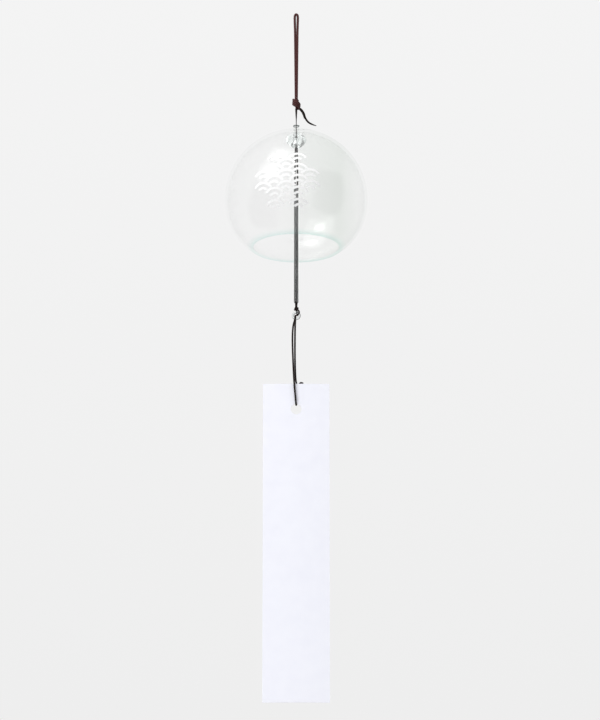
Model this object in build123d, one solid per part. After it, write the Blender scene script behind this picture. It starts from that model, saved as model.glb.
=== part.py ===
from build123d import *
import math
import os

# Glass wind bell that hangs plumb. Millimetres, +Z up, the viewer looks along +Y.
# The origin is the inside top of the cord loop, where the loop rests on its hook.

# Cord
cord_diameter = 0.9
strand_gap = 0.1          # between the two strands where they lie side by side
free_gap = 0.3            # between pieces that move against each other or seat
corner_share = 0.45       # of the shorter run, which the arc at a corner takes up

# Hanging loop and its knot
loop_drop = 50.0          # from the hook to the top of the knot
hanging_knot_height = 7.7
hanging_knot_radius = 1.45
neck_length = 9.3         # from the knot down to the top of the sleeve

# Sleeve in the crown
sleeve_stand = 4.0        # how far it stands above the crown
sleeve_radius = 1.85
sleeve_bore_radius = 1.3
sleeve_rim_radius = 2.1
sleeve_rim_height = 0.5
sleeve_socket = 1.5       # how deep it sits in the bead
socket_fit = 0.05

# Blown glass bell
bell_radius = 40.0
bell_wall = 1.4
crown_wall = 1.9
rim_wall = 1.7
crown_hole_radius = 4.2
mouth_radius = 25.2
mouth_depth = 28.8        # from the middle of the globe down to the mouth
tuck_angle = 15.0         # below the middle, where the globe starts to draw in

# Stopper bead that carries the bell
bead_radius = 5.65
bead_height = 7.9
bead_edge_radius = 3.0
bead_edge_angle = 60.0
bead_land_radius = 2.7
bead_recess_radius = 2.2
bead_recess_depth = 3.4
bead_lip = 0.25

# Knot in the bead's recess
stopper_knot_height = 2.8
stopper_knot_radius = 1.2

# Clapper
tube_drop = 24.3          # from the bead down to the top of the tube
tube_length = 68.0
tube_radius = 1.3
tube_bore_radius = 1.0
tube_end_round = 0.14
lower_knot_drop = 2.6     # from the tube down to the knot under it
lower_knot_height = 2.3
lower_knot_radius = 1.0

# Clear ring
ring_radius = 2.5
ring_section_radius = 0.65

# Paper strip
strip_drop = 37.3         # from the ring down to the top of the strip
strip_width = 36.9
strip_length = 182.2
strip_thickness = 0.4
strip_hole_radius = 3.0
strip_hole_inset = 14.7   # from the top of the strip to the middle of its hole

# Knot behind the strip
strip_knot_height = 3.0
strip_knot_radius = 1.05
strip_knot_aside = 1.8
strip_knot_below = 1.8    # from the top of the strip to the middle of the knot

# Wraps of each knot, from the top one down: height from the middle as a share of the
# knot's height, ring radius as a share of the knot's radius, lean and turn in degrees
hanging_wrap_shares = [(0.22, 1.2, 20, 0), (-0.06, 1.2, 24, 12), (-0.3, 0.85, -14, -20)]
stopper_wrap_shares = [(0.0, 0.85, 16, 0)]
lower_wrap_shares = [(0.0, 0.8, 18, 0)]
strip_wrap_shares = [(0.08, 1.0, 22, 0)]
knot_end_share = 0.95     # of the knot's radius, which its flat ends keep

# Routes of the cords, chosen by hand
hanging_cord_route = [
    (-0.5, 0.0, -50.6),
    (-0.95, 0.1, -19.0),
    (-1.0, 0.0, 0.45),
    (1.0, 0.0, 0.45),
    (0.95, -0.1, -24.0),
    (0.5, 0.0, -50.6),
]
long_end_route = [
    (0.9, -0.3, -56.4),
    (3.2, -0.6, -58.6),
    (4.6, -0.7, -61.9),
    (7.1, 0.2, -65.1),
    (11.0, 1.8, -66.4),
]
short_end_route = [
    (0.6, 1.0, -56.4),
    (2.8, 1.5, -58.8),
    (4.1, 1.7, -62.4),
]
ring_loop_route = [
    (0.0, -0.6, -175.9),
    (0.0, -1.25, -176.8),
    (0.0, -1.25, -179.1),
    (0.0, 1.25, -179.1),
    (0.0, 1.25, -176.8),
    (0.0, 0.6, -175.9),
]
strip_cord_route = [
    (1.6, 2.1, -220.8),
    (0.3, 1.4, -215.6),
    (-0.7, 1.1, -206.0),
    (-1.1, 1.1, -193.0),
    (-0.4, 1.25, -185.0),
    (0.0, 1.25, -180.3),
    (0.0, -1.25, -180.3),
    (-0.8, -1.25, -184.6),
    (-2.1, -1.0, -192.0),
    (-1.7, -1.0, -207.0),
    (-0.7, -1.1, -221.0),
    (0.0, -1.0, -231.85),
    (0.0, 1.0, -231.85),
    (0.9, 1.5, -227.6),
    (1.7, 2.1, -222.8),
]
strip_end_route = [
    (2.2, 2.1, -220.6),
    (3.1, 1.9, -218.8),
    (4.3, 1.6, -217.6),
]

# Heights of the pieces, each worked out from the one above it
knot_top = -loop_drop
knot_bottom = knot_top - hanging_knot_height
sleeve_top = knot_bottom - neck_length
crown_top = sleeve_top - sleeve_stand
globe_middle = crown_top - bell_radius
strand_offset = (cord_diameter + strand_gap) / 2


def outer_point(angle):
    """A point of the globe's outside, at an angle below the crown."""
    turn = math.radians(angle)
    return Vector(bell_radius * math.sin(turn), 0, globe_middle + bell_radius * math.cos(turn))


def inner_point(angle):
    """A point of the globe's inside, whose middle lies lower so that the crown is thicker."""
    turn = math.radians(angle)
    radius = bell_radius - bell_wall
    middle = globe_middle - (crown_wall - bell_wall)
    return Vector(radius * math.sin(turn), 0, middle + radius * math.cos(turn))


def angle_at(distance, radius):
    """The angle below the crown at which a globe of that radius is so far from its axis."""
    return math.degrees(math.asin(distance / radius))


# The melted edge round the crown hole is a round lip, as thick as the crown
lip_radius = crown_wall / 2
lip_distance = crown_hole_radius + lip_radius
lip_outside = outer_point(angle_at(lip_distance, bell_radius))
lip_inside = inner_point(angle_at(lip_distance, bell_radius - bell_wall))
lip_middle = (lip_outside.Z + lip_inside.Z) / 2

# The bead's edge lies one gap away from that lip
bead_reach = lip_radius + free_gap + bead_edge_radius
bead_aside = lip_distance - (bead_radius - bead_edge_radius)
bead_middle = lip_middle - math.sqrt(bead_reach**2 - bead_aside**2)
bead_top = bead_middle + bead_height / 2
bead_bottom = bead_middle - bead_height / 2
sleeve_bottom = bead_top - sleeve_socket
recess_top = bead_bottom + bead_recess_depth
stopper_knot_top = recess_top - free_gap
tube_top = bead_bottom - tube_drop
tube_bottom = tube_top - tube_length
lower_knot_top = tube_bottom - lower_knot_drop
lower_knot_bottom = lower_knot_top - lower_knot_height
ring_middle = lower_knot_bottom - free_gap - ring_radius
strip_top = ring_middle - ring_radius - strip_drop
strip_hole_middle = strip_top - strip_hole_inset


def glass_bell():
    """A blown globe: thick crown, melted crown hole, drawn-in mouth with a round rim."""
    tuck = 90 + tuck_angle
    middle_angle = (angle_at(lip_distance, bell_radius) + tuck) / 2
    outside = ThreePointArc(lip_outside, outer_point(middle_angle), outer_point(tuck))
    inside = ThreePointArc(lip_inside, inner_point(middle_angle), inner_point(tuck))
    rim_outside = Vector(mouth_radius, 0, globe_middle - mouth_depth)
    skirt = TangentArc(outside @ 1, rim_outside, tangent=outside % 1)
    along = skirt % 1
    inwards = Vector(along.Z, 0, -along.X)
    rim_inside = rim_outside + inwards * rim_wall
    rim_tip = rim_outside + inwards * (rim_wall / 2) + along * (rim_wall / 2)
    lining = TangentArc(inside @ 1, rim_inside, tangent=inside % 1)
    rim = ThreePointArc(rim_outside, rim_tip, rim_inside)
    hole_edge = ThreePointArc(lip_inside, Vector(crown_hole_radius, 0, lip_middle), lip_outside)
    profile = make_face([outside, skirt, rim, lining, inside, hole_edge])
    return revolve(profile, Axis.Z)


def bead_half(side):
    """Half of the bead's outline, from its widest point up (1) or down (-1) to its land."""
    turn = math.radians(bead_edge_angle)
    widest = Vector(bead_radius, 0, bead_middle)
    shoulder = Vector(
        bead_radius - bead_edge_radius * (1 - math.cos(turn)),
        0,
        bead_middle + side * bead_edge_radius * math.sin(turn),
    )
    land = Vector(bead_land_radius, 0, bead_middle + side * bead_height / 2)
    edge = TangentArc(widest, shoulder, tangent=(0, 0, side))
    cheek = TangentArc(shoulder, land, tangent=edge % 1)
    return edge, cheek, land


def stopper_bead():
    """A clear oblate bead with a socket for the sleeve, a bore and a recess for its knot."""
    upper_edge, upper_cheek, upper_land = bead_half(1)
    lower_edge, lower_cheek, lower_land = bead_half(-1)
    bore_radius = strand_offset + cord_diameter / 2 + free_gap
    socket_radius = sleeve_radius + socket_fit
    corners = [
        upper_land,
        (socket_radius, 0, bead_top),
        (socket_radius, 0, sleeve_bottom),
        (bore_radius, 0, sleeve_bottom),
        (bore_radius, 0, recess_top),
        (bead_recess_radius, 0, recess_top - bead_lip),
        (bead_recess_radius, 0, bead_bottom),
        lower_land,
    ]
    hollow = [Line(a, b) for a, b in zip(corners, corners[1:])]
    profile = make_face([upper_edge, upper_cheek, *hollow, lower_cheek, lower_edge])
    return revolve(profile, Axis.Z)


def cord_sleeve():
    """A clear tube with a turned rim at its top."""
    rim_bottom = sleeve_top - sleeve_rim_height
    corners = [
        (sleeve_bore_radius, 0, sleeve_bottom),
        (sleeve_radius, 0, sleeve_bottom),
        (sleeve_radius, 0, rim_bottom),
        (sleeve_rim_radius, 0, rim_bottom + (sleeve_rim_radius - sleeve_radius)),
        (sleeve_rim_radius, 0, sleeve_top),
        (sleeve_bore_radius, 0, sleeve_top),
    ]
    return revolve(make_face(Polyline(*corners, close=True)), Axis.Z)


def clapper_tube():
    """A glass tube with melted, rounded ends."""
    height = tube_length
    middle = (tube_top + tube_bottom) / 2
    tube = Cylinder(tube_radius, height) - Cylinder(tube_bore_radius, height)
    tube = fillet(tube.edges().filter_by(GeomType.CIRCLE), tube_end_round)
    return Pos(0, 0, middle) * tube


def lower_ring():
    """A clear ring that faces the viewer."""
    ring = Torus(ring_radius - ring_section_radius, ring_section_radius)
    return Pos(0, 0, ring_middle) * Rot(90, 0, 0) * ring


def paper_strip():
    """A flat strip with one punched hole."""
    strip = Box(strip_width, strip_thickness, strip_length)
    hole = Rot(90, 0, 0) * Cylinder(strip_hole_radius, strip_thickness + free_gap)
    hole_height = strip_length / 2 - strip_hole_inset
    return Pos(0, 0, strip_top - strip_length / 2) * (strip - Pos(0, 0, hole_height) * hole)


def tied_knot(height, radius, wrap_shares):
    """A tight knot: a barrel of cord with leaning wraps round it, middle at the origin."""
    end_radius = radius * knot_end_share
    half = height / 2
    side = ThreePointArc((end_radius, 0, -half), (radius, 0, 0), (end_radius, 0, half))
    rest = Polyline(side @ 1, (0, 0, half), (0, 0, -half), side @ 0)
    knot = revolve(make_face([side, *rest.edges()]), Axis.Z)
    for height_share, radius_share, lean, turn in wrap_shares:
        wrap = Torus(radius * radius_share, cord_diameter / 2)
        knot += Pos(0, 0, height * height_share) * Rot(0, lean, turn) * wrap
    return knot


def corner_radii(points):
    """The largest arcs that the runs on both sides of each corner leave room for."""
    radii = []
    for before, corner, after in zip(points, points[1:], points[2:]):
        shorter = min((corner - before).length, (after - corner).length)
        half_turn = math.radians((corner - before).get_angle(after - corner)) / 2
        radii.append(corner_share * shorter / math.tan(half_turn))
    return radii


def cord_tube(name, route):
    """A round tube along straight runs joined by tangent arcs, with its radii printed."""
    points = [Vector(point) for point in route]
    if len(points) == 2:
        path = Line(*points)
        radii = []
    else:
        radii = corner_radii(points)
        path = FilletPolyline(*points, radius=radii)
    section = Plane(origin=path @ 0, z_dir=path % 0) * Circle(cord_diameter / 2)
    tube = sweep(section, path=path)
    share = tube.volume / (math.pi * (cord_diameter / 2) ** 2 * path.length)
    print(name, "length", round(path.length, 2), "volume share", round(share, 4))
    print("  radii", [round(radius, 2) for radius in radii])
    return tube


def straight_pair(name, top, bottom, across):
    """Two straight strands side by side, along X or along Y."""
    side = Vector(across) * strand_offset
    strands = []
    for offset in (side, -side):
        route = [Vector(0, 0, top) + offset, Vector(0, 0, bottom) + offset]
        strands.append(cord_tube(name, route))
    return strands[0] + strands[1]


def make_parts():
    """All the pieces, each under the name of its file."""
    knot_middle = knot_top - hanging_knot_height / 2
    stopper_middle = stopper_knot_top - stopper_knot_height / 2
    lower_middle = lower_knot_top - lower_knot_height / 2
    behind = strip_thickness / 2 + free_gap + strip_knot_radius + cord_diameter / 2
    strip_knot_place = Pos(strip_knot_aside, behind, strip_top - strip_knot_below)
    along_x, along_y = (1, 0, 0), (0, 1, 0)
    return {
        "hanging_cord": cord_tube("hanging_cord", hanging_cord_route),
        "hanging_knot": Pos(0, 0, knot_middle)
        * tied_knot(hanging_knot_height, hanging_knot_radius, hanging_wrap_shares),
        "cord_ends": cord_tube("long end", long_end_route)
        + cord_tube("short end", short_end_route),
        "neck_cord": straight_pair(
            "neck_cord", knot_bottom - free_gap, sleeve_top + free_gap, along_y
        ),
        "cord_sleeve": cord_sleeve(),
        "bead_cord": straight_pair(
            "bead_cord", sleeve_top - free_gap, recess_top, along_y
        ),
        "glass_bell": glass_bell(),
        "stopper_bead": stopper_bead(),
        "stopper_knot": Pos(0, 0, stopper_middle)
        * tied_knot(stopper_knot_height, stopper_knot_radius, stopper_wrap_shares),
        "clapper_cord": straight_pair(
            "clapper_cord", bead_bottom - free_gap, lower_knot_top + free_gap, along_x
        ),
        "clapper_tube": clapper_tube(),
        "lower_knot": Pos(0, 0, lower_middle)
        * tied_knot(lower_knot_height, lower_knot_radius, lower_wrap_shares),
        "ring_loop": cord_tube("ring_loop", ring_loop_route),
        "lower_ring": lower_ring(),
        "strip_cord": cord_tube("strip_cord", strip_cord_route),
        "strip_knot": strip_knot_place
        * tied_knot(strip_knot_height, strip_knot_radius, strip_wrap_shares),
        "strip_cord_end": cord_tube("strip_cord_end", strip_end_route),
        "paper_strip": paper_strip(),
    }


os.makedirs("parts", exist_ok=True)
for part_name, part in make_parts().items():
    export_step(part, f"parts/{part_name}.step")
print("crown", round(crown_top, 2), "bead", round(bead_top, 2), round(bead_bottom, 2))
print("tube", round(tube_top, 2), round(tube_bottom, 2), "ring", round(ring_middle, 2))
print("strip", round(strip_top, 2), "hole", round(strip_hole_middle, 2))
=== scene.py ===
import math
from itertools import cycle

import bpy
import numpy as np
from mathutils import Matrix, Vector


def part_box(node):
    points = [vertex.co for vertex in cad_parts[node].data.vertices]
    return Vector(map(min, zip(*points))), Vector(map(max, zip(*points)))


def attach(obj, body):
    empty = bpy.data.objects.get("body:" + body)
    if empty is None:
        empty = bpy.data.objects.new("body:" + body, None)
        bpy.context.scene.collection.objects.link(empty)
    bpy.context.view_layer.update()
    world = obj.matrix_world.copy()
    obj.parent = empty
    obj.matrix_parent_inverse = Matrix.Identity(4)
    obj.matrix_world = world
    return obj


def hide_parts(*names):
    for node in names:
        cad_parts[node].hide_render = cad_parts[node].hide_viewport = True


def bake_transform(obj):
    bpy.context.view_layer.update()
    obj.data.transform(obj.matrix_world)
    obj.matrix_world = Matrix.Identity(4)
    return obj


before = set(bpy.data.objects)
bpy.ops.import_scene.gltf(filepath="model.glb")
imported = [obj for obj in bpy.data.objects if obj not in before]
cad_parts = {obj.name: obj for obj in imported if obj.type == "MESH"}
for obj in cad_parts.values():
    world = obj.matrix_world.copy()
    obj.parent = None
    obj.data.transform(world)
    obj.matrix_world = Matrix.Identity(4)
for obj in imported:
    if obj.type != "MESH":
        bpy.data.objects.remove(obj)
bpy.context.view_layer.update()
mm = 0.001                         # the pieces' sizes are written in millimetres
scene = bpy.context.scene
print("loaded", len(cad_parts), "CAD nodes")


def topOf(node):
    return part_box(node)[1].z


def bottomOf(node):
    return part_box(node)[0].z


def middleOf(node):
    return np.array([(low + high) / 2 for low, high in zip(*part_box(node))])


def unit(direction):
    return np.array(direction) / np.linalg.norm(direction)


def addObject(name, data):
    added = bpy.data.objects.new(name, data)
    scene.collection.objects.link(added)
    return added


# Camera: a long lens below the bell that looks up at it, as when it hangs above eye level
camera = {
    "lens": 269.8,                 # for a frame 36 mm along its longer side
    "distance": 3.0,
    "lookUp": 17.7,                # degrees
    "aim": (2.1 * mm, 0, -205.6 * mm),
    "clip": (0.1, 60),             # nearest and farthest that it sees
}


def makeCamera():
    turn = math.radians(camera["lookUp"])
    data = bpy.data.cameras.new("camera")
    data.lens = camera["lens"]
    data.clip_start, data.clip_end = camera["clip"]
    eye = addObject("camera", data)
    x, y, z = camera["aim"]
    away = camera["distance"]
    eye.location = (x, y - away * math.cos(turn), z - away * math.sin(turn))
    eye.rotation_euler = (math.pi / 2 + turn, 0, 0)
    scene.camera = eye


makeCamera()
print("camera set")


# Colours, shader nodes and materials
def fromHex(code):
    # An sRGB hex colour as the linear values that the shaders take, and opaque
    part = np.array([int(code[i:i + 2], 16) for i in (1, 3, 5)]) / 255
    linear = np.where(part <= 0.04045, part / 12.92, ((part + 0.055) / 1.055) ** 2.4)
    return (*[float(value) for value in linear], 1.0)


def addNode(tree, kind, inputs=None, stops=None, **settings):
    # One node: settings are its own, inputs are values or sockets, stops are a ramp's colours
    node = tree.nodes.new(kind)
    for name, value in settings.items():
        setattr(node, name, value)
    for name, value in (inputs or {}).items():
        if isinstance(value, bpy.types.NodeSocket):
            tree.links.new(value, node.inputs[name])
        else:
            node.inputs[name].default_value = value
    if stops:
        elements = node.color_ramp.elements
        while len(elements) < len(stops):
            elements.new(0.5)
        for element, (place, colour) in zip(elements, stops):
            element.position = place
            element.color = fromHex(colour)
    return node


def newMaterial(name):
    material = bpy.data.materials.new(name)
    material.use_nodes = True
    tree = material.node_tree
    tree.nodes.clear()
    return material, tree


def addSwells(tree, place, spacing, height):
    # The slow swells that the making left in a glassy surface, as a normal
    swell = addNode(tree, "ShaderNodeTexNoise", {
        "Vector": place.outputs["Object"], "Scale": 1 / spacing, "Detail": 1.5})
    bump = addNode(tree, "ShaderNodeBump", {
        "Height": swell.outputs["Fac"], "Strength": 1.0, "Distance": height})
    return bump.outputs["Normal"]


sodaGlassIor = 1.52


def glassMaterial(name, tint, depthColour, density, roughness, swells, ior=sodaGlassIor):
    # Thick clear glass or plastic: tint colours each surface, depthColour and density are what
    # the light keeps and loses on its way through, which shows at edges, and swells are their
    # spacing and height
    material, tree = newMaterial(name)
    normal = addSwells(tree, addNode(tree, "ShaderNodeTexCoord"), *swells)
    shader = addNode(tree, "ShaderNodeBsdfPrincipled", {
        "Base Color": fromHex(tint), "Roughness": roughness, "IOR": ior,
        "Transmission Weight": 1.0, "Normal": normal})
    depth = addNode(tree, "ShaderNodeVolumeAbsorption", {
        "Color": fromHex(depthColour), "Density": density})
    addNode(tree, "ShaderNodeOutputMaterial", {
        "Surface": shader.outputs["BSDF"], "Volume": depth.outputs["Volume"]})
    return material


thinWall = {
    "mostMirrored": 0.2,           # share of the light, so that a grazed edge stays clear
    "depthColour": "#7fc4b6",      # of light that went far through it
    "paintedShadeFrom": -12 * mm,         # across the bell, and between these the wall is painted a little darker: painted shade on the bell's right side
    "paintedShadeTo": 40 * mm,
    "paintedShadeStops": [(0.0, "#ffffff"), (0.7, "#fbfcfb"), (1.0, "#ffffff")],
}


def thinWallMaterial(name, low, high, stops, density, swells):
    # A clear wall too thin to bend the view: it lets through its tint and mirrors as glass does.
    # Its stops are tints from the height low to the height high, for an edge that is seen along
    # its own thickness
    material, tree = newMaterial(name)
    place = addNode(tree, "ShaderNodeTexCoord")
    normal = addSwells(tree, place, *swells)
    parts = addNode(tree, "ShaderNodeSeparateXYZ", {"Vector": place.outputs["Object"]})
    above = addNode(tree, "ShaderNodeMapRange", {
        "Value": parts.outputs["Z"], "From Min": low, "From Max": high})
    # the stops are the rim's green on the bell, and painted shade at the top of the sleeve
    tint = addNode(tree, "ShaderNodeValToRGB", {"Fac": above.outputs["Result"]}, stops=stops)
    # painted shade: the tint darkens a little across X, most towards the bell's right side
    aside = addNode(tree, "ShaderNodeMapRange", {
        "Value": parts.outputs["X"], "From Min": thinWall["paintedShadeFrom"], "From Max": thinWall["paintedShadeTo"]})
    paintedShade = addNode(tree, "ShaderNodeValToRGB", {"Fac": aside.outputs["Result"]},
                    stops=thinWall["paintedShadeStops"])
    colour = addNode(tree, "ShaderNodeVectorMath", {
        0: tint.outputs["Color"], 1: paintedShade.outputs["Color"]}, operation="MULTIPLY")
    # from inside the wall the share mirrored is the same as from outside
    side = addNode(tree, "ShaderNodeNewGeometry")
    bend = addNode(tree, "ShaderNodeMapRange", {
        "Value": side.outputs["Backfacing"], "To Min": sodaGlassIor, "To Max": 1 / sodaGlassIor})
    skin = addNode(tree, "ShaderNodeFresnel", {"IOR": bend.outputs["Result"], "Normal": normal})
    share = addNode(tree, "ShaderNodeMath", {
        0: skin.outputs["Fac"], 1: thinWall["mostMirrored"]}, operation="MINIMUM")
    clear = addNode(tree, "ShaderNodeBsdfTransparent", {"Color": colour.outputs["Vector"]})
    mirror = addNode(tree, "ShaderNodeBsdfGlossy", {"Roughness": 0.0, "Normal": normal})
    shader = addNode(tree, "ShaderNodeMixShader", {
        "Fac": share.outputs[0], 1: clear.outputs["BSDF"], 2: mirror.outputs["BSDF"]})
    depth = addNode(tree, "ShaderNodeVolumeAbsorption", {
        "Color": fromHex(thinWall["depthColour"]), "Density": density})
    addNode(tree, "ShaderNodeOutputMaterial", {
        "Surface": shader.outputs["Shader"], "Volume": depth.outputs["Volume"]})
    return material


# Meshes from grids of points
def ringVolume(ring):
    # Six times the volume between the origin and a flat cap over the ring: the ring's middle
    # times the sum of each point crossed with the next
    return np.cross(ring, np.roll(ring, -1, axis=0)).sum(axis=0) @ ring.mean(axis=0)


def enclosedVolume(grid, quads, caps):
    # Six times the volume enclosed, below zero where the quads face inwards: each quad is two
    # triangles, and each of these adds one corner times the other two crossed
    flat = grid.reshape(-1, 3)
    middle = flat.mean(axis=0)
    one, two, three, four = np.moveaxis((flat - middle)[quads], 1, 0)
    volume = np.einsum("ij,ij->", one, np.cross(two, three) + np.cross(three, four))
    if caps:
        volume += ringVolume(grid[0][::-1] - middle) + ringVolume(grid[-1] - middle)
    return volume


def surfaceMesh(name, grids, wrapRows=False, caps=False, uv=None):
    # Each grid is rows of points in rings. A cell between two rows and two columns is a quad,
    # columns close round, rows close too where wrapRows is set, and caps close the first and
    # the last row. uv gives, for each grid, a corner's place in the layer from its column and row
    points, faces, layers, count = [], [], [], 0
    for number, grid in enumerate(grids):
        rowCount, columnCount = grid.shape[:2]
        row, column = [part.ravel() for part in np.meshgrid(
            np.arange(rowCount if wrapRows else rowCount - 1), np.arange(columnCount), indexing="ij")]
        rows = np.stack([row, row, row + 1, row + 1], axis=1)
        columns = np.stack([column, column + 1, column + 1, column], axis=1)
        quads = rows % rowCount * columnCount + columns % columnCount
        last = np.arange(columnCount) + (rowCount - 1) * columnCount
        first = np.arange(columnCount)[::-1]
        if enclosedVolume(grid, quads, caps) < 0:
            quads, rows, columns = quads[:, ::-1], rows[:, ::-1], columns[:, ::-1]
            first, last = first[::-1], last[::-1]
        faces += (quads + count).tolist()
        if caps:
            faces += [(first + count).tolist(), (last + count).tolist()]
        if uv:
            layers.append(uv[number](columns, rows).reshape(-1, 2))
        if uv and caps:
            layers.append(np.zeros((2 * columnCount, 2)))
        points.append(grid.reshape(-1, 3))
        count += rowCount * columnCount
    mesh = bpy.data.meshes.new(name)
    mesh.from_pydata(np.concatenate(points), [], faces)
    if uv:
        layer = mesh.uv_layers.new(name="lay")
        layer.data.foreach_set("uv", np.concatenate(layers).astype(np.float32).ravel())
    mesh.shade_smooth()
    return mesh


def addPiece(name, mesh, material, body=None, bridge=None, replaces=(), sharp=None):
    # bridge is the pair of bodies and the two heights between which the piece would bend; only whether it
    # is given is read, and then the piece keeps its place in the world and joins no body. sharp is the
    # angle in degrees past which an edge stays crisp
    if sharp:
        mesh.set_sharp_from_angle(angle=math.radians(sharp))
    mesh.materials.append(material)
    piece = addObject(name, mesh)
    if bridge:
        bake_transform(piece)
    else:
        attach(piece, body)
    if replaces:
        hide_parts(*replaces)
    return piece


def turned(profile, columns):
    # A profile of distances and heights turned about Z: x = r cos a, y = r sin a, z = height
    angle = np.linspace(0, 2 * math.pi, columns, endpoint=False)
    distance, height = profile[:, :1], profile[:, 1:]
    return np.stack([distance * np.cos(angle), distance * np.sin(angle), height + 0 * angle], axis=2)


def tangentArc(start, along, end, count):
    # The circle's arc that leaves start in the direction along, of length 1, and ends at end.
    # Half its turn is the angle between along and the chord
    chord = end - start
    across = np.array([-along[1], along[0]])
    across = across * np.sign(chord @ across)
    turn = 2 * math.atan2(chord @ across, chord @ along)
    radius = np.linalg.norm(chord) / 2 / math.sin(turn / 2)
    angle = np.linspace(0, turn, count)[:, None]
    return start + radius * (np.sin(angle) * along + (1 - np.cos(angle)) * across)


def directionAtEnd(start, along, end):
    # An arc meets its chord at one angle at both ends, so its direction at the end is the one
    # at its start mirrored in the chord
    chord = unit(end - start)
    return 2 * (along @ chord) * chord - along


# Cords
cord = {
    "diameter": 0.95 * mm,
    "plies": 3,
    "pitch": 2.6 * mm,             # of the lay, one full turn of a ply
    "groove": 0.26,                # where the plies' middles lie, as a share of the radius
    "columns": 24,
    "spacing": 0.16 * mm,          # between rings of points along the cord
    "sharp": 50,                   # degrees
    "grain": (36, 90),             # spots of fibre round the cord, and in one turn of the lay
    "smears": (2, 60),             # of wax, likewise
    "loopLength": 102.5 * mm,      # real lengths, the clapper's for each strand
    "clapperLength": 95.1 * mm,
    "stripLength": 105.6 * mm,
}
# Thickness along a cord from its start to its end, as shares of its diameter
evenThickness = (1.0, 1.0)
wornLoop = (1.02, 1.28, 1.45, 1.53, 1.45, 1.28, 1.02)   # worn open and flat where it hangs
longEnd = (0.7, 0.8, 1.1, 1.25, 1.2, 1.0, 0.45)         # pulled flat, then cut to a point
shortEnd = (0.8, 0.9, 0.9, 0.5)
thinNeck = (1.4, 1.0, 0.55, 0.46, 0.46, 0.46, 0.46)     # drawn thin to pass the sleeve
weathered = (1.12, 1.12)                                # the strip's cord, swollen outdoors
frayedEnd = (1.0, 1.5, 1.7, 0.8)


def waxedCordMaterial(name, dark, middle, light):
    # Cotton cord, three plies laid together and drawn through wax: a satin sheen along each
    # ply, fine smears of wax round it and a grain of fibres, drawn a little coarser than cotton
    material, tree = newMaterial(name)
    place = addNode(tree, "ShaderNodeUVMap", uv_map="lay")
    spots = []
    for count, detail, roughness in ((cord["grain"], 4.0, 0.65), (cord["smears"], 2.0, 0.5)):
        # the layer is one wide round the cord and one long in each turn of the lay
        sized = addNode(tree, "ShaderNodeMapping", {
            "Vector": place.outputs["UV"], "Scale": (*count, 1)})
        spots.append(addNode(tree, "ShaderNodeTexNoise", {
            "Vector": sized.outputs["Vector"], "Scale": 1.0, "Detail": detail, "Roughness": roughness}))
    grain, smears = spots
    tone = addNode(tree, "ShaderNodeValToRGB", {"Fac": grain.outputs["Fac"]}, stops=[
        (0.3, dark), (0.55, middle), (0.8, light)])
    shine = addNode(tree, "ShaderNodeMapRange", {
        "Value": smears.outputs["Fac"], "From Min": 0.3, "From Max": 0.7, "To Min": 0.4, "To Max": 0.6})
    bump = addNode(tree, "ShaderNodeBump", {
        "Height": grain.outputs["Fac"], "Strength": 0.35, "Distance": 0.03 * mm})
    shader = addNode(tree, "ShaderNodeBsdfPrincipled", {
        "Base Color": tone.outputs["Color"], "Roughness": shine.outputs["Result"],
        "Normal": bump.outputs["Normal"], "IOR": 1.45, "Specular IOR Level": 0.14})
    addNode(tree, "ShaderNodeOutputMaterial", {"Surface": shader.outputs["BSDF"]})
    return material


loopCord = waxedCordMaterial("wornWaxedCord", "#301a1b", "#50302f", "#7a5551")   # faded red brown
waxedCord = waxedCordMaterial("waxedCord", "#0e0807", "#1a100e", "#35231f")      # nearly black


def smoothRoute(route):
    # The NURBS line of the route's points, as Blender itself draws it
    curve = bpy.data.curves.new("route", "CURVE")
    curve.dimensions = "3D"
    curve.resolution_u = 32
    spline = curve.splines.new("NURBS")
    spline.points.add(len(route) - 1)
    weighted = np.c_[np.array(route, float) * mm, np.ones(len(route))]
    spline.points.foreach_set("co", weighted.astype(np.float32).ravel())
    spline.order_u = 3
    spline.use_endpoint_u = True
    holder = bpy.data.objects.new("route", curve)
    mesh = bpy.data.meshes.new_from_object(holder)
    line = np.empty(len(mesh.vertices) * 3)
    mesh.vertices.foreach_get("co", line)
    bpy.data.objects.remove(holder)
    bpy.data.curves.remove(curve)
    bpy.data.meshes.remove(mesh)
    return line.reshape(-1, 3)


def evenly(line, spacing):
    # The same line with points at an even spacing, and how far along it each lies
    run = np.r_[0, np.cumsum(np.linalg.norm(np.diff(line, axis=0), axis=1))]
    marks = np.linspace(0, run[-1], max(3, round(run[-1] / spacing) + 1))
    return np.stack([np.interp(marks, run, line[:, k]) for k in range(3)], axis=1), marks


def sidesAlong(line):
    # Two directions square to the line at each point, carried along so that they don't spin
    tangent = np.gradient(line, axis=0)
    tangent /= np.linalg.norm(tangent, axis=1)[:, None]
    side = np.empty_like(line)
    alongY = abs(tangent[0, 1]) > 0.8          # so the first side starts from X
    last = np.array([1.0, 0.0, 0.0] if alongY else [0.0, 1.0, 0.0])
    for k, direction in enumerate(tangent):
        last = unit(last - direction * (last @ direction))
        side[k] = last
    return side, np.cross(tangent, side)


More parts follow.
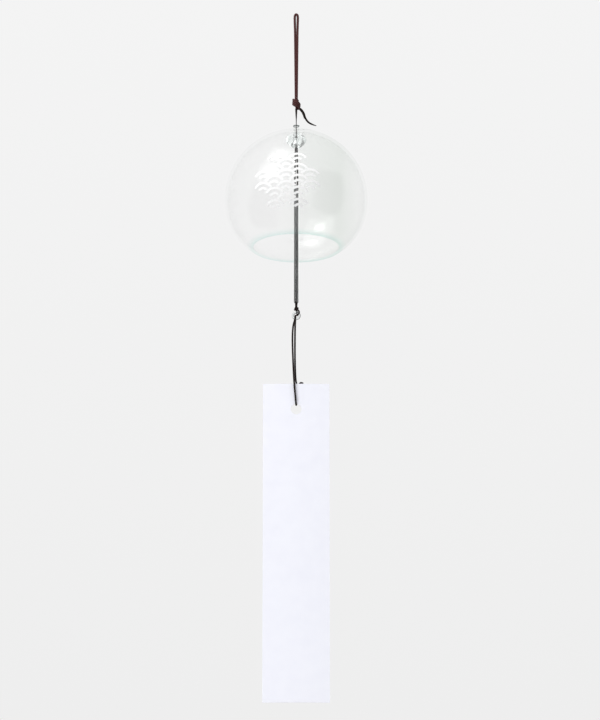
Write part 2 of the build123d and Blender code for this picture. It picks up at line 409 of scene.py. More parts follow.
def cordGrid(line, thickness):
    # Three plies laid together: round the line the radius follows the outermost ply, a circle
    # whose middle lies off the line and turns once in each pitch. The radius runs straight from
    # one of the thickness values to the next
    line, run = evenly(line, cord["spacing"])
    side, other = sidesAlong(line)
    places = np.linspace(0, run[-1], len(thickness))
    radius = cord["diameter"] / 2 * np.interp(run, places, thickness)[:, None]
    middle = radius * cord["groove"]
    plyRadius = radius - middle
    column = np.linspace(0, 2 * math.pi, cord["columns"], endpoint=False)
    turn = column[None, :] - 2 * math.pi * run[:, None] / cord["pitch"]
    sector = 2 * math.pi / cord["plies"]
    off = (turn + sector / 2) % sector - sector / 2
    reach = middle * np.cos(off) + np.sqrt(plyRadius**2 - (middle * np.sin(off)) ** 2)
    around = np.cos(column)[:, None] * side[:, None] + np.sin(column)[:, None] * other[:, None]
    grid = line[:, None] + reach[..., None] * around
    turnsInRow = (run[1] - run[0]) / cord["pitch"]

    def lay(columns, rows):
        # A ply keeps its place across the layer while it turns round the cord
        turns = rows * turnsInRow
        return np.stack([columns / cord["columns"] - turns, turns], axis=-1)

    return grid, lay


def addCord(name, lines, body=None, bridge=None, replaces=(), thickness=(evenThickness,),
            material=waxedCord):
    # One piece with a strand of cord along each line, and each end of a strand is a flat cut
    grids, lays = zip(*[cordGrid(line, shares) for line, shares in zip(lines, cycle(thickness))])
    mesh = surfaceMesh(name, grids, caps=True, uv=lays)
    return addPiece(name, mesh, material, body, bridge, replaces, cord["sharp"])


# Points of the cords' routes, in millimetres
hangingRoute = [
    (-0.46, 0.0, -50.6),
    (-0.5, 0.1, -36.0),
    (-0.58, 0.15, -20.0),
    (-0.66, 0.15, -11.0),
    (-0.82, 0.1, -5.0),
    (-0.95, 0.0, 0.25),
    (0.95, 0.0, 0.25),
    (0.82, -0.1, -5.0),
    (0.66, -0.15, -11.0),
    (0.58, -0.15, -20.0),
    (0.5, -0.1, -36.0),
    (0.46, 0.0, -50.6),
]
longEndRoute = [
    (0.7, -0.5, -55.4),
    (2.7, -0.8, -57.0),
    (4.3, -0.7, -59.4),
    (5.1, -0.2, -63.0),
    (7.9, 0.7, -65.8),
    (11.3, 1.8, -66.3),
]
shortEndRoute = [
    (0.7, 0.9, -55.6),
    (2.6, 0.9, -57.4),
    (4.0, 0.6, -59.8),
    (4.5, 0.5, -62.4),
]
clapperRoute = [                   # the right strand's, and the left one's is turned half round
    (0.42, 0.0, -79.98),
    (0.6, 0.0, -90.0),
    (0.8, -0.05, -99.0),
    (0.52, 0.0, -104.5),
    (0.5, 0.0, -138.0),
    (0.5, 0.0, -171.0),
    (0.2, 0.46, -173.4),
    (0.2, 0.46, -175.1),
]
ringLoopRoute = [
    (0.0, -0.6, -175.9),
    (0.9, -1.35, -176.5),
    (1.9, -1.45, -178.3),
    (0.7, -0.7, -179.6),
    (0.3, 0.7, -179.5),
    (0.6, 1.35, -177.8),
    (0.0, 0.6, -175.9),
]
stripCordRoute = [
    (1.0, 2.0, -221.0),
    (-0.1, 1.6, -218.9),
    (-0.5, 1.2, -213.0),
    (-0.7, 1.1, -204.0),
    (-0.72, 1.1, -193.0),
    (-0.6, 1.35, -185.0),
    (-0.5, 1.55, -182.4),
    (-0.45, 1.55, -180.6),
    (-0.45, 0.8, -179.8),
    (-0.45, -0.8, -179.8),
    (-0.5, -1.55, -180.6),
    (-0.75, -1.6, -182.6),
    (-1.8, -1.35, -186.0),
    (-2.2, -1.0, -193.0),
    (-1.85, -1.0, -205.0),
    (-1.2, -1.1, -219.0),
    (-0.1, -1.0, -231.75),
    (0.0, 1.0, -231.75),
    (0.9, 1.5, -227.6),
    (1.7, 2.1, -222.8),
]
stripEndRoute = [
    (1.3, 2.0, -220.4),
    (2.1, 1.9, -218.0),
    (3.9, 1.6, -218.7),
]

# The doubled cord between the hanging knot and the bell
neck = {
    "hidden": 0.9 * mm,            # how far it runs on inside the knot above
    "knotSide": 0.5 * mm,          # from the middle out to a strand, at the knot
    "sleeveSide": 0.38 * mm,       # and inside the sleeve
    "bendAbove": 2 * mm,           # the sleeve's top, where it starts to bend
    "bendBelow": 1 * mm,           # and where it ends
}


def makeNeckCord():
    # Two strands that run together as they drop to the sleeve, then straight down through it
    joint = topOf("cord_sleeve")
    top, bottom = topOf("neck_cord") + neck["hidden"], bottomOf("bead_cord")
    lines = [np.array([(0, side * neck["knotSide"], top), (0, side * neck["sleeveSide"], joint),
                       (0, side * neck["sleeveSide"], bottom)]) for side in (-1, 1)]
    bridge = ("neck", "bell", joint + neck["bendAbove"], joint - neck["bendBelow"])
    addCord("neckCord", lines, bridge=bridge, replaces=["neck_cord", "bead_cord"], thickness=[thinNeck])


line = smoothRoute(hangingRoute)
piece = addCord("hangingLoop", [line], body="hanger", replaces=["hanging_cord"],
                thickness=[wornLoop], material=loopCord)

ends = [smoothRoute(longEndRoute), smoothRoute(shortEndRoute)]
addCord("cordEnds", ends, body="hanger", replaces=["cord_ends"], thickness=[longEnd, shortEnd])

makeNeckCord()

for side, sign in (("Left", -1), ("Right", 1)):
    line = smoothRoute([(sign * x, sign * y, z) for x, y, z in clapperRoute])
    piece = addCord("clapperCord" + side, [line], body="clapper", replaces=["clapper_cord"])

addCord("ringLoop", [smoothRoute(ringLoopRoute)], body="ring", replaces=["ring_loop"])

line = smoothRoute(stripCordRoute)
piece = addCord("stripCord", [line], body="strip_loop", replaces=["strip_cord"], thickness=[weathered])
addCord("stripCordEnd", [smoothRoute(stripEndRoute)], body="strip_loop", replaces=["strip_cord_end"],
        thickness=[frayedEnd])
print("cords made")


# Knots pulled tight, each of a core of straight strands and the wraps that go round it. The
# distances, spans, leans and core places are in millimetres, turns are counted round the core
# and starts are in degrees
knots = {
    "hanging": {
        "node": "hanging_knot", "body": "hanger", "material": loopCord, "strands": 2,
        "distance": 2.0, "span": 4.3, "turns": 2.1, "lean": -1.05, "start": 20,
        "core": [((-0.5, 0), (0, -0.5)), ((0.5, 0), (0, 0.5))],
    },
    "stopper": {
        "node": "stopper_knot", "body": "clapper_yoke",
        "distance": 0.85, "span": 0.9, "turns": 1.4, "lean": 0.25, "start": 30,
        "core": [((0, -0.45), (-0.42, 0)), ((0, 0.45), (0.42, 0))],
    },
    "lower": {
        "node": "lower_knot", "body": "ring",
        "distance": 0.95, "span": 1.0, "turns": 1.5, "lean": 0.3, "start": 160,
        "core": [((-0.35, 0), (0, -0.6)), ((0.35, 0), (0, 0.6))],
    },
    "strip": {
        "node": "strip_knot", "body": "strip_loop",
        "distance": 0.95, "span": 1.5, "turns": 1.8, "lean": 0.3, "start": 250,
        "core": [((-0.3, 0), (0.1, 0)), ((0.3, 0), (-0.1, 0))],
    },
}
wrap = {
    "points": 220,
    "tucked": 0.3,                 # where its ends lie, as a share of its distance from the core
    "power": 0.3,                  # of the half wave, and the lower, the sooner a wrap is full
}


def makeKnot(name, facts):
    # A wrap's angle turns evenly while its height falls evenly and leans over to one side, and
    # its distance from the core swells as a power of a half wave, so both ends tuck in
    low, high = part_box(facts["node"])
    middle = middleOf(facts["node"])
    share = np.linspace(0, 1, wrap["points"])
    swell = np.sin(math.pi * share) ** wrap["power"]
    angle = math.radians(facts["start"]) + 2 * math.pi * facts["turns"] * share
    distance = facts["distance"] * (wrap["tucked"] + (1 - wrap["tucked"]) * swell)
    height = facts["span"] * (0.5 - share) + facts["lean"] * swell * np.cos(angle)
    lines, strands = [], facts.get("strands", 1)
    for strand in range(strands):
        beside = (strand - (strands - 1) / 2) * cord["diameter"] / mm
        turns = np.stack([distance * np.cos(angle), distance * np.sin(angle), height + beside], axis=1)
        lines.append(middle + turns * mm)
    for (upperX, upperY), (lowerX, lowerY) in facts["core"]:
        lines.append(np.array([(middle[0] + upperX * mm, middle[1] + upperY * mm, high.z),
                               (middle[0] + lowerX * mm, middle[1] + lowerY * mm, low.z)]))
    addCord(name + "Knot", lines, body=facts["body"], replaces=[facts["node"]],
            material=facts.get("material", waxedCord))


for name, facts in knots.items():
    makeKnot(name, facts)
print("knots made")


# Blown glass bell
bell = {
    "radius": 40.0 * mm,
    "belowSleeve": 44.0 * mm,      # from the sleeve's top to the middle of the globe
    "wall": 1.4 * mm,
    "crownWall": 1.9 * mm,
    "rimWall": 1.7 * mm,
    "holeRadius": 4.2 * mm,
    "mouthRadius": 25.2 * mm,
    "mouthDepth": 28.8 * mm,       # from the middle of the globe
    "tuck": 105.0,                 # degrees from the crown, where the globe draws in
    "globePoints": 90,
    "skirtPoints": 26,
    "rimPoints": 16,
    "columns": 192,
    "tintFrom": -1 * mm,           # heights from the rim's, where its green starts and ends
    "tintTo": 2 * mm,
    "tintStops": [(0.0, "#e9f7f4"), (0.45, "#f4fbfa"), (1.0, "#ffffff")],
    "density": 1.0,
    "swells": (9.0 * mm, 0.012 * mm),
}
globeMiddle = topOf("cord_sleeve") - bell["belowSleeve"]
rimHeight = globeMiddle - bell["mouthDepth"]


def bellProfile():
    # Six arcs round the wall. The skirt and the rim leave in the direction of the arc before
    # them, and the skirt's lining and the crown hole's melted lip in that of the globe's inside,
    # whose middle lies lower, so that the wall thickens towards the crown
    innerRadius = bell["radius"] - bell["wall"]
    innerMiddle = globeMiddle - (bell["crownWall"] - bell["wall"])
    lipRadius = bell["holeRadius"] + bell["crownWall"] / 2

    def onGlobe(radius, middle, angle):
        # The point at an angle from the crown, and the direction down the globe there
        point = np.array([radius * math.sin(angle), middle + radius * math.cos(angle)])
        return point, np.array([math.cos(angle), -math.sin(angle)])

    tuck = math.radians(bell["tuck"])
    lipOut, lipOutDown = onGlobe(bell["radius"], globeMiddle, math.asin(lipRadius / bell["radius"]))
    lipIn, lipInDown = onGlobe(innerRadius, innerMiddle, math.asin(lipRadius / innerRadius))
    tuckOut, tuckDown = onGlobe(bell["radius"], globeMiddle, tuck)
    tuckIn, tuckDown = onGlobe(innerRadius, innerMiddle, tuck)
    rimOut = np.array([bell["mouthRadius"], rimHeight])
    rimDown = directionAtEnd(tuckOut, tuckDown, rimOut)
    rimIn = rimOut + bell["rimWall"] * np.array([rimDown[1], -rimDown[0]])
    globe = tangentArc(lipOut, lipOutDown, tuckOut, bell["globePoints"])
    skirt = tangentArc(tuckOut, tuckDown, rimOut, bell["skirtPoints"])
    rim = tangentArc(rimOut, rimDown, rimIn, bell["rimPoints"])
    lining = tangentArc(tuckIn, tuckDown, rimIn, bell["skirtPoints"])
    inside = tangentArc(lipIn, lipInDown, tuckIn, bell["globePoints"])
    lip = tangentArc(lipIn, -lipInDown, lipOut, bell["rimPoints"])
    return np.concatenate([globe[:-1], skirt[:-1], rim[:-1], lining[:0:-1], inside[:0:-1], lip[:-1]])


def makeBell():
    # Soda glass gathered on a pipe and blown free: clear, with slow swells that waver in its
    # mirrored lights, and a melted rim whose thickness shows its green
    blownGlass = thinWallMaterial("blownGlass", rimHeight + bell["tintFrom"], rimHeight + bell["tintTo"],
                                  bell["tintStops"], bell["density"], bell["swells"])
    mesh = surfaceMesh("glassBell", [turned(bellProfile(), bell["columns"])], wrapRows=True)
    addPiece("glassBell", mesh, blownGlass, body="bell", replaces=["glass_bell"])


makeBell()
print("bell made")


# Wave scales painted on the globe, an old pattern of overlapping ripples
waves = {
    "scale": 6.8 * mm,             # radius of one scale
    "ripples": (0.87, 0.44),       # their radii, as shares of the scale's
    "stroke": 1.4 * mm,
    "thickness": 0.12 * mm,
    "sunk": 0.01 * mm,             # into the glass, so that no gap shows under the paint
    "rows": 11,
    "columns": 7,
    "spread": (17.0 * mm, 15.0 * mm),       # half of the painted patch, across and up
    "facing": (-0.14, -0.98, -0.14),        # from the globe's middle to the patch's
    "spacing": 0.3 * mm,           # between points along a stroke
    "fewestPoints": 5,             # of a stroke that is drawn
    "sharp": 30,                   # degrees
    "hairs": 1.2 * mm,             # between the streaks that the brush left
    "through": 0.06,               # share of the light let through
}


def enamelMaterial():
    # White glass enamel, brushed on and fired: chalky, a little uneven in thickness, and
    # letting through a little of the light behind it
    material, tree = newMaterial("whiteEnamel")
    place = addNode(tree, "ShaderNodeTexCoord")
    streaks = addNode(tree, "ShaderNodeTexNoise", {
        "Vector": place.outputs["Object"], "Scale": 1 / waves["hairs"], "Detail": 3.0})
    tone = addNode(tree, "ShaderNodeValToRGB", {"Fac": streaks.outputs["Fac"]}, stops=[
        (0.3, "#fcfdfd"), (0.7, "#ffffff")])
    bump = addNode(tree, "ShaderNodeBump", {
        "Height": streaks.outputs["Fac"], "Strength": 0.3, "Distance": 0.02 * mm})
    chalk = addNode(tree, "ShaderNodeBsdfPrincipled", {
        "Base Color": tone.outputs["Color"], "Roughness": 0.55, "IOR": 1.5,
        "Normal": bump.outputs["Normal"]})
    through = addNode(tree, "ShaderNodeBsdfTranslucent", {"Color": fromHex("#fdfefe")})
    shader = addNode(tree, "ShaderNodeMixShader", {
        "Fac": waves["through"], 1: chalk.outputs["BSDF"], 2: through.outputs["BSDF"]})
    addNode(tree, "ShaderNodeOutputMaterial", {"Surface": shader.outputs["Shader"]})
    return material


def strokeGrid(across, up, outAcross, outUp):
    # A brush stroke along a line on the patch: four corners at each point, half a stroke to
    # either side and as deep as the paint. Across and up are run as longitude and latitude
    facing = unit(waves["facing"])
    right = unit(np.cross(facing, (0, 0, 1)))
    above = np.cross(right, facing)
    skin = bell["radius"] - waves["sunk"]
    corners = [(-0.5, 0), (0.5, 0), (0.5, 1), (-0.5, 1)]
    grid = np.empty((len(across), len(corners), 3))
    for k, (aside, depth) in enumerate(corners):
        longitude = (across + aside * waves["stroke"] * outAcross) / bell["radius"]
        latitude = (up + aside * waves["stroke"] * outUp) / bell["radius"]
        ahead = np.cos(latitude) * np.cos(longitude)
        level = np.cos(latitude) * np.sin(longitude)
        direction = ahead[:, None] * facing + level[:, None] * right + np.sin(latitude)[:, None] * above
        grid[:, k] = direction * (skin + depth * waves["thickness"])
        grid[:, k, 2] += globeMiddle
    return grid


def scaleStrokes(middleAcross, middleUp):
    # The ripples of one scale are circles, left out where the scales below lie over them: in
    # the row below half a scale's width to either side, and in the row under that straight below
    radius = waves["scale"]
    over = [(radius, -radius / 2), (-radius, -radius / 2), (0, -radius)]
    strokes = []
    for share in waves["ripples"]:
        reach = radius * share
        count = round(2 * math.pi * reach / waves["spacing"])
        angle = np.linspace(-math.pi / 2, 1.5 * math.pi, count)
        across, up = reach * np.cos(angle), reach * np.sin(angle)
        free = np.ones(count, bool)
        for x, y in over:
            free &= np.hypot(across - x, up - y) > radius
        edges = np.flatnonzero(np.diff(np.r_[False, free, False].astype(int)))
        for first, last in zip(edges[::2], edges[1::2]):
            if last - first >= waves["fewestPoints"]:
                part = slice(first, last)
                strokes.append(strokeGrid(middleAcross + across[part], middleUp + up[part],
                                          np.cos(angle[part]), np.sin(angle[part])))
    return strokes


def makeWaves():
    # Scales side by side in rows half a radius apart, every other row half a scale aside, as
    # far as an ellipse reaches
    strokes = []
    for row in range(waves["rows"]):
        up = (row - (waves["rows"] - 1) / 2) * waves["scale"] / 2
        for column in range(waves["columns"]):
            across = (column - (waves["columns"] - 1) / 2 + row % 2 / 2) * 2 * waves["scale"]
            if math.hypot(across / waves["spread"][0], up / waves["spread"][1]) < 1:
                strokes += scaleStrokes(across, up)
    mesh = surfaceMesh("waveScales", strokes, caps=True)
    addPiece("waveScales", mesh, enamelMaterial(), body="bell", sharp=waves["sharp"])


makeWaves()
print("painted pattern made")


# Clear pieces that are turned about the cord, and the ring
tube = {"radius": 1.3 * mm, "bore": 1.0 * mm, "endRound": 0.14 * mm, "columns": 64}
sleeve = {
    "radius": 1.6 * mm,
    "bore": 1.3 * mm,
    "rimRadius": 1.8 * mm,
    "rimHeight": 0.5 * mm,
    "round": 0.1 * mm,
    "columns": 64,
    "paintedShadeHeight": 1 * mm,          # at its top, where it is painted darker: painted shade for the dark line at its rim
    # the grey stops are painted shade
    "tintStops": [(0.0, "#ffffff"), (0.35, "#fdfdfd"), (0.5, "#b4b8b8"), (1.0, "#a8acac")],
    "density": 3.0,
    "swells": (3.0 * mm, 0.01 * mm),
}
bead = {
    "radius": 5.65 * mm,
    "edgeRadius": 3.0 * mm,
    "edgeAngle": 60.0,             # degrees, each way from the middle
    "edgePoints": 20,
    "cheekPoints": 12,
    "land": 2.7 * mm,              # radius where the cheeks end
    "socket": 1.9 * mm,
    "socketDepth": 1.5 * mm,
    "bore": 1.25 * mm,
    "recess": 2.2 * mm,
    "recessDepth": 3.4 * mm,
    "lip": 0.25 * mm,
    "round": 0.2 * mm,
    "columns": 96,
}
ring = {"radius": 2.5 * mm, "section": 0.65 * mm, "columns": 96, "rows": 32}


def roundedProfile(corners, rounds, steps):
    # A closed outline whose corners are cut by an arc that leaves both runs at the same
    # distance from the corner
    corners = np.array(corners, float)
    outline = []
    for before, corner, after, cut in zip(np.roll(corners, 1, 0), corners, np.roll(corners, -1, 0), rounds):
        if cut == 0:
            outline.append(corner[None])
            continue
        toBefore, toAfter = unit(before - corner), unit(after - corner)
        outline.append(tangentArc(corner + toBefore * cut, -toBefore, corner + toAfter * cut, steps))
    return np.concatenate(outline)


def addTurned(name, profile, columns, material, body, node):
    mesh = surfaceMesh(name, [turned(profile, columns)], wrapRows=True)
    addPiece(name, mesh, material, body, replaces=[node])


def makeTube():
    # Tubing drawn from molten glass and weathered: grey where it is thick and a little hazy.
    # Its profile is the wall's rectangle with round ends
    drawnGlass = glassMaterial("drawnGlass", tint="#d0d2d2", depthColour="#868d8d", density=150.0,
                               roughness=0.12, swells=(4.0 * mm, 0.01 * mm))
    top, bottom = topOf("clapper_tube"), bottomOf("clapper_tube")
    corners = [(tube["bore"], top), (tube["radius"], top), (tube["radius"], bottom), (tube["bore"], bottom)]
    profile = roundedProfile(corners, [tube["endRound"]] * len(corners), steps=7)
    addTurned("clapperTube", profile, tube["columns"], drawnGlass, "clapper", "clapper_tube")


def makeSleeve():
    # Clear vinyl tubing cut with a knife: clear, with painted shade at its flared top, a dark band standing
    # for the dark line its rim shows by bending light
    top, bottom = topOf("cord_sleeve"), bottomOf("cord_sleeve")
    clearVinyl = thinWallMaterial("clearVinyl", top - sleeve["paintedShadeHeight"], top, sleeve["tintStops"],
                                  sleeve["density"], sleeve["swells"])
    rimBottom = top - sleeve["rimHeight"]
    flare = sleeve["rimRadius"] - sleeve["radius"]
    corners = [(sleeve["bore"], bottom), (sleeve["radius"], bottom), (sleeve["radius"], rimBottom),
               (sleeve["rimRadius"], rimBottom + flare), (sleeve["rimRadius"], top), (sleeve["bore"], top)]
    profile = roundedProfile(corners, [sleeve["round"]] * len(corners), steps=5)
    addTurned("cordSleeve", profile, sleeve["columns"], clearVinyl, "bell", "cord_sleeve")


def beadHalf(middle, half, side):
    # From the widest point the edge's arc, then a flatter one that reaches the land, upwards
    # where side is 1 and downwards where it is -1
    turn = math.radians(bead["edgeAngle"])
    along = np.array([0.0, side])
    widest = np.array([bead["radius"], middle])
    shoulder = widest + bead["edgeRadius"] * np.array([math.cos(turn) - 1, side * math.sin(turn)])
    edge = tangentArc(widest, along, shoulder, bead["edgePoints"])
    land = np.array([bead["land"], middle + side * half])
    cheek = tangentArc(shoulder, directionAtEnd(widest, along, shoulder), land, bead["cheekPoints"])
    return np.concatenate([edge, cheek[1:]])


def makeBead():
    # Pressed glass, polished by fire: clear and smooth, with a faint green in its depth. Its
    # profile is the two halves outside, and the stepped hollow for sleeve, cord and knot inside
    pressedGlass = glassMaterial("pressedGlass", tint="#fbfdfd", depthColour="#9fb3ae", density=16.0,
                                 roughness=0.02, swells=(3.0 * mm, 0.02 * mm))
    top, bottom = topOf("stopper_bead"), bottomOf("stopper_bead")
    middle, half = (top + bottom) / 2, (top - bottom) / 2
    recessTop = bottom + bead["recessDepth"]
    socketBottom = top - bead["socketDepth"]
    corners = [(bead["land"], top), (bead["socket"], top), (bead["socket"], socketBottom),
               (bead["bore"], socketBottom), (bead["bore"], recessTop),
               (bead["recess"], recessTop - bead["lip"]), (bead["recess"], bottom), (bead["land"], bottom)]
    hollow = roundedProfile(corners, [0, *[bead["round"]] * (len(corners) - 2), 0], steps=5)
    upper, lower = beadHalf(middle, half, 1), beadHalf(middle, half, -1)
    profile = np.concatenate([upper[:-1], hollow[:-1], lower[:0:-1]])
    addTurned("stopperBead", profile, bead["columns"], pressedGlass, "bell", "stopper_bead")


def makeRing():
    # Clear acrylic, moulded: smooth, and smoky where it is thick. A circle of the section's
    # radius is carried round a circle about Y
    clearPlastic = glassMaterial("clearPlastic", tint="#e6e9e9", depthColour="#7d8585", density=220.0,
                                 roughness=0.04, swells=(2.0 * mm, 0.01 * mm), ior=1.49)
    turn = np.linspace(0, 2 * math.pi, ring["rows"], endpoint=False)
    profile = np.stack([ring["radius"] - ring["section"] + ring["section"] * np.cos(turn),
                        ring["section"] * np.sin(turn)], axis=1)
    grid = turned(profile, ring["columns"])[..., [0, 2, 1]]
    grid[..., 2] += middleOf("lower_ring")[2]
    mesh = surfaceMesh("lowerRing", [grid], wrapRows=True)
    addPiece("lowerRing", mesh, clearPlastic, "ring", replaces=["lower_ring"])


makeTube()
makeSleeve()
makeBead()
makeRing()
print("clear pieces made")


# Paper strip
strip = {
    "thickness": 0.3 * mm,
    "holeRadius": 3.0 * mm,
    "holeInset": 14.7 * mm,
    "cup": 0.55 * mm,              # how far its long edges stand back from its middle
    "curl": 0.8 * mm,              # how far its lower end comes forward
    "columns": 240,
    "rows": 70,
    "crowding": 1.5,               # of the rows towards the hole, 1 is none
    "sharp": 30,                   # degrees
    "clouds": 9 * mm,              # between the pulp's thicker places
    "fibres": 0.35 * mm,           # drawn coarser than they are, so that they show
}


def paperMaterial():
    # Bleached card of short fibres, calendered matt: cool white with a faint cloudy tone
    material, tree = newMaterial("bleachedCard")
    place = addNode(tree, "ShaderNodeTexCoord")
    clouds = addNode(tree, "ShaderNodeTexNoise", {
        "Vector": place.outputs["Object"], "Scale": 1 / strip["clouds"], "Detail": 3.0})
    tone = addNode(tree, "ShaderNodeValToRGB", {"Fac": clouds.outputs["Fac"]}, stops=[
        (0.3, "#f3f4fd"), (0.7, "#f6f7ff")])
    fibres = addNode(tree, "ShaderNodeTexNoise", {
        "Vector": place.outputs["Object"], "Scale": 1 / strip["fibres"], "Detail": 5.0, "Roughness": 0.7})
    bump = addNode(tree, "ShaderNodeBump", {
        "Height": fibres.outputs["Fac"], "Strength": 0.25, "Distance": 0.04 * mm})
    shader = addNode(tree, "ShaderNodeBsdfPrincipled", {
        "Base Color": tone.outputs["Color"], "Roughness": 0.75, "IOR": 1.5,
        "Specular IOR Level": 0.35, "Normal": bump.outputs["Normal"]})
    addNode(tree, "ShaderNodeOutputMaterial", {"Surface": shader.outputs["BSDF"]})
    return material


def makeStrip():
    # Lines from the hole's edge out to the strip's outline, on the front and then back on the
    # other face. The sheet stands back by a square of the distance across and comes forward
    # by a square of the distance below its middle
    low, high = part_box("paper_strip")
    half = (high.x - low.x) / 2
    hole = high.z - strip["holeInset"]
    above, below = high.z - hole, low.z - hole
    corners = [math.atan2(z, x) % (2 * math.pi) for x in (-half, half) for z in (above, below)]
    spread = np.linspace(0, 2 * math.pi, strip["columns"], endpoint=False)
    angle = np.unique(np.r_[spread, corners])
    aside, rise = np.cos(angle), np.sin(angle)
    tiny = 1e-9                    # keeps a line straight up or across from a division by 0
    toEdge = np.minimum(half / np.maximum(abs(aside), tiny),
                        np.where(rise > 0, above, -below) / np.maximum(abs(rise), tiny))
    share = np.linspace(0, 1, strip["rows"])[:, None] ** strip["crowding"]
    reach = strip["holeRadius"] + share * (toEdge - strip["holeRadius"])
    x, z = reach * aside, reach * rise + hole
    back = strip["cup"] * (x / half) ** 2
    back = back - strip["curl"] * (np.minimum(0, z - (hole + below / 2)) / (below / 2)) ** 2
    front = np.stack([x, back - strip["thickness"] / 2, z], axis=2)
    rear = np.stack([x, back + strip["thickness"] / 2, z], axis=2)
    mesh = surfaceMesh("paperStrip", [np.concatenate([front, rear[::-1]])], wrapRows=True)
    addPiece("paperStrip", mesh, paperMaterial(), "strip", replaces=["paper_strip"],
             sharp=strip["sharp"])


makeStrip()
print("paper strip made")


# Floor, lamps and the pale room round the bell
keyFrom = (-0.582, -0.646, 0.493)
topFrom = (-0.323, -0.406, 0.855)
studio = {
    "floorDrop": 1.5,              # below the top of the loop
    "floorSize": 60.0,
    "floorClouds": 0.333,          # between the floor's paler places
    "key": {"from": keyFrom, "distance": 2.3, "size": (1.3, 0.9), "power": 23.4},
    "top": {"from": topFrom, "distance": 2.3, "size": (0.9, 0.7), "power": 16.8},
    "lampsAim": (0, 0, -0.12),
    "sky": 0.62,
    "room": 1.25,                  # as gloss and glass see it
    "roomLeast": 0.12,
    "backdropRise": (0.24, 0.37),  # sines of how steeply the eye looks up, between its two tones
}
# Windows and darker furniture that gloss and glass see: where from, half of the width and of the
# height and the soft edge, as tangents of angles, and how much light each adds or takes. A bent
# one is seen only by light that thick glass has bent
roomZones = [
    {"from": keyFrom, "half": (0.08, 0.04), "edge": 0.14, "adds": 4.0},
    {"from": keyFrom, "half": (0.26, 0.14), "edge": 0.3, "adds": 1.5},
    {"from": topFrom, "half": (0.05, 0.04), "edge": 0.12, "adds": 4.0},
    {"from": topFrom, "half": (0.18, 0.12), "edge": 0.25, "adds": 1.5},
    {"from": (0.84, -0.53, -0.05), "half": (0.3, 0.5), "edge": 0.4, "adds": -0.8},
    {"from": (-0.78, 0.6, 0.15), "half": (0.45, 0.6), "edge": 0.15, "adds": -1.05, "bent": True},
    {"from": (-0.5, 0.5, 0.7), "half": (0.35, 0.35), "edge": 0.2, "adds": -0.9, "bent": True},
    {"from": (0.0, 0.47, 0.88), "half": (0.35, 0.35), "edge": 0.2, "adds": -0.9, "bent": True},
]


def makeFloor():
    # One square of matt painted board, faintly cloudy
    material, tree = newMaterial("paleFloor")
    place = addNode(tree, "ShaderNodeTexCoord")
    clouds = addNode(tree, "ShaderNodeTexNoise", {
        "Vector": place.outputs["Object"], "Scale": 1 / studio["floorClouds"]})
    tone = addNode(tree, "ShaderNodeValToRGB", {"Fac": clouds.outputs["Fac"]}, stops=[
        (0.3, "#ececec"), (0.7, "#f0f0f0")])
    shader = addNode(tree, "ShaderNodeBsdfPrincipled", {
        "Base Color": tone.outputs["Color"], "Roughness": 0.9})
    addNode(tree, "ShaderNodeOutputMaterial", {"Surface": shader.outputs["BSDF"]})
    half, level = studio["floorSize"] / 2, -studio["floorDrop"]
    corners = [(-half, -half, level), (half, -half, level), (half, half, level), (-half, half, level)]
    mesh = bpy.data.meshes.new("floor")
    mesh.from_pydata(corners, [], [(0, 1, 2, 3)])
    mesh.materials.append(material)
    floor = addObject("floor", mesh)
    floor.visible_glossy = False   # gloss and glass see the pale room below too
    floor.visible_transmission = False


def makeLamp(name, facts):
    data = bpy.data.lights.new(name, "AREA")
    data.shape = "RECTANGLE"
    data.size, data.size_y = facts["size"]
    data.energy = facts["power"]
    lamp = addObject(name, data)
    lamp.visible_glossy = False    # the room's windows stand for it there
    lamp.visible_transmission = False
    direction = unit(facts["from"])
    lamp.location = np.array(studio["lampsAim"]) + direction * facts["distance"]
    # the lamp shines along its own -Z, back towards the bell
    flat = math.hypot(direction[0], direction[1])
    lamp.rotation_euler = (math.atan2(flat, direction[2]), 0, math.atan2(direction[0], -direction[1]))


def zoneLight(tree, view, facts):
    # How much light a zone adds where the ray goes: full inside a rectangle square to its
    # direction, falling off over its soft edge, and none behind
    ahead = unit(facts["from"])
    right = unit(np.cross(ahead, (0, 0, 1)))
    above = np.cross(right, ahead)
    facing = addNode(tree, "ShaderNodeVectorMath", {0: view, 1: tuple(ahead)}, operation="DOT_PRODUCT")
    light = addNode(tree, "ShaderNodeMath", {
        0: facing.outputs["Value"], 1: 0.0}, operation="GREATER_THAN").outputs[0]
    for direction, half in zip((right, above), facts["half"]):
        part = addNode(tree, "ShaderNodeVectorMath", {0: view, 1: tuple(direction)},
                       operation="DOT_PRODUCT")
        tangent = addNode(tree, "ShaderNodeMath", {
            0: part.outputs["Value"], 1: facing.outputs["Value"]}, operation="DIVIDE")
        aside = addNode(tree, "ShaderNodeMath", {0: tangent.outputs[0]}, operation="ABSOLUTE")
        fade = addNode(tree, "ShaderNodeMapRange", {
            "Value": aside.outputs[0], "From Min": half, "From Max": half + facts["edge"],
            "To Min": 1.0, "To Max": 0.0}, interpolation_type="SMOOTHERSTEP")
        light = addNode(tree, "ShaderNodeMath", {
            0: light, 1: fade.outputs[0]}, operation="MULTIPLY").outputs[0]
    return addNode(tree, "ShaderNodeMath", {
        0: light, 1: facts["adds"]}, operation="MULTIPLY").outputs[0]


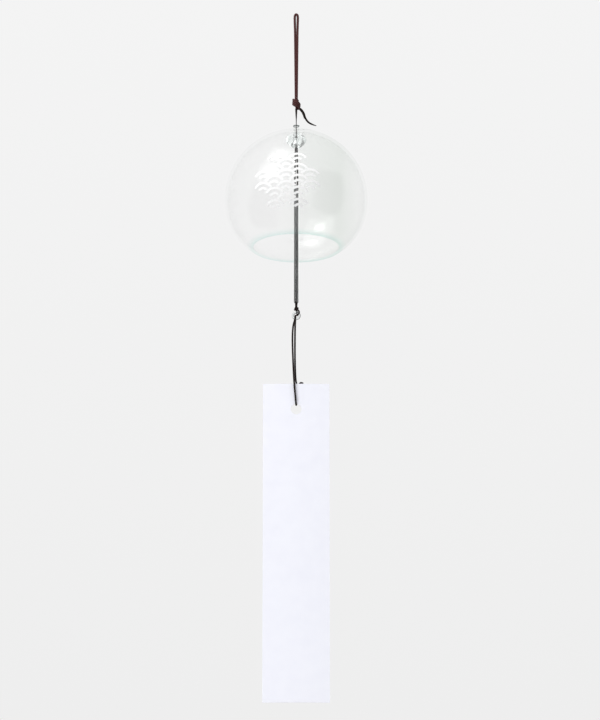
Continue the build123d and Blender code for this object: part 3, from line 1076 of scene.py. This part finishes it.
def makeWorld():
    # The backdrop that the eye sees is pale, a little brighter above. Gloss and glass see it with
    # the room's windows and furniture, and the rest is lit by a plain white sky
    world = bpy.data.worlds.new("paleRoom")
    scene.world = world
    world.use_nodes = True
    tree = world.node_tree
    tree.nodes.clear()
    view = addNode(tree, "ShaderNodeTexCoord").outputs["Generated"]
    parts = addNode(tree, "ShaderNodeSeparateXYZ", {"Vector": view})
    lowest, highest = studio["backdropRise"]
    rise = addNode(tree, "ShaderNodeMapRange", {
        "Value": parts.outputs["Z"], "From Min": lowest, "From Max": highest})
    backdrop = addNode(tree, "ShaderNodeValToRGB", {"Fac": rise.outputs["Result"]}, stops=[
        (0.0, "#eeeeee"), (1.0, "#f4f4f4")])
    rays = addNode(tree, "ShaderNodeLightPath")
    total = studio["room"]
    for facts in roomZones:
        light = zoneLight(tree, view, facts)
        if facts.get("bent"):
            light = addNode(tree, "ShaderNodeMath", {
                0: light, 1: rays.outputs["Is Transmission Ray"]}, operation="MULTIPLY").outputs[0]
        total = addNode(tree, "ShaderNodeMath", {0: total, 1: light}).outputs[0]
    strength = addNode(tree, "ShaderNodeMath", {0: total, 1: studio["roomLeast"]}, operation="MAXIMUM")
    seen = addNode(tree, "ShaderNodeBackground", {"Color": backdrop.outputs["Color"], "Strength": 1.0})
    room = addNode(tree, "ShaderNodeBackground", {
        "Color": backdrop.outputs["Color"], "Strength": strength.outputs[0]})
    sky = addNode(tree, "ShaderNodeBackground", {"Color": fromHex("#ffffff"), "Strength": studio["sky"]})
    turnedRay = addNode(tree, "ShaderNodeMath", {
        0: rays.outputs["Is Glossy Ray"], 1: rays.outputs["Is Transmission Ray"]}, operation="MAXIMUM")
    around = addNode(tree, "ShaderNodeMixShader", {
        "Fac": turnedRay.outputs[0], 1: sky.outputs["Background"], 2: room.outputs["Background"]})
    mix = addNode(tree, "ShaderNodeMixShader", {
        "Fac": rays.outputs["Is Camera Ray"], 1: around.outputs["Shader"], 2: seen.outputs["Background"]})
    addNode(tree, "ShaderNodeOutputWorld", {"Surface": mix.outputs["Shader"]})


makeFloor()
makeLamp("keyLamp", studio["key"])
makeLamp("topLamp", studio["top"])
makeWorld()
glassBounces = 24                  # glass within glass takes many
scene.cycles.max_bounces = glassBounces
scene.cycles.transmission_bounces = glassBounces
scene.cycles.transparent_max_bounces = glassBounces
scene.cycles.glossy_bounces = 8
scene.view_settings.view_transform = "Standard"
print("studio set")
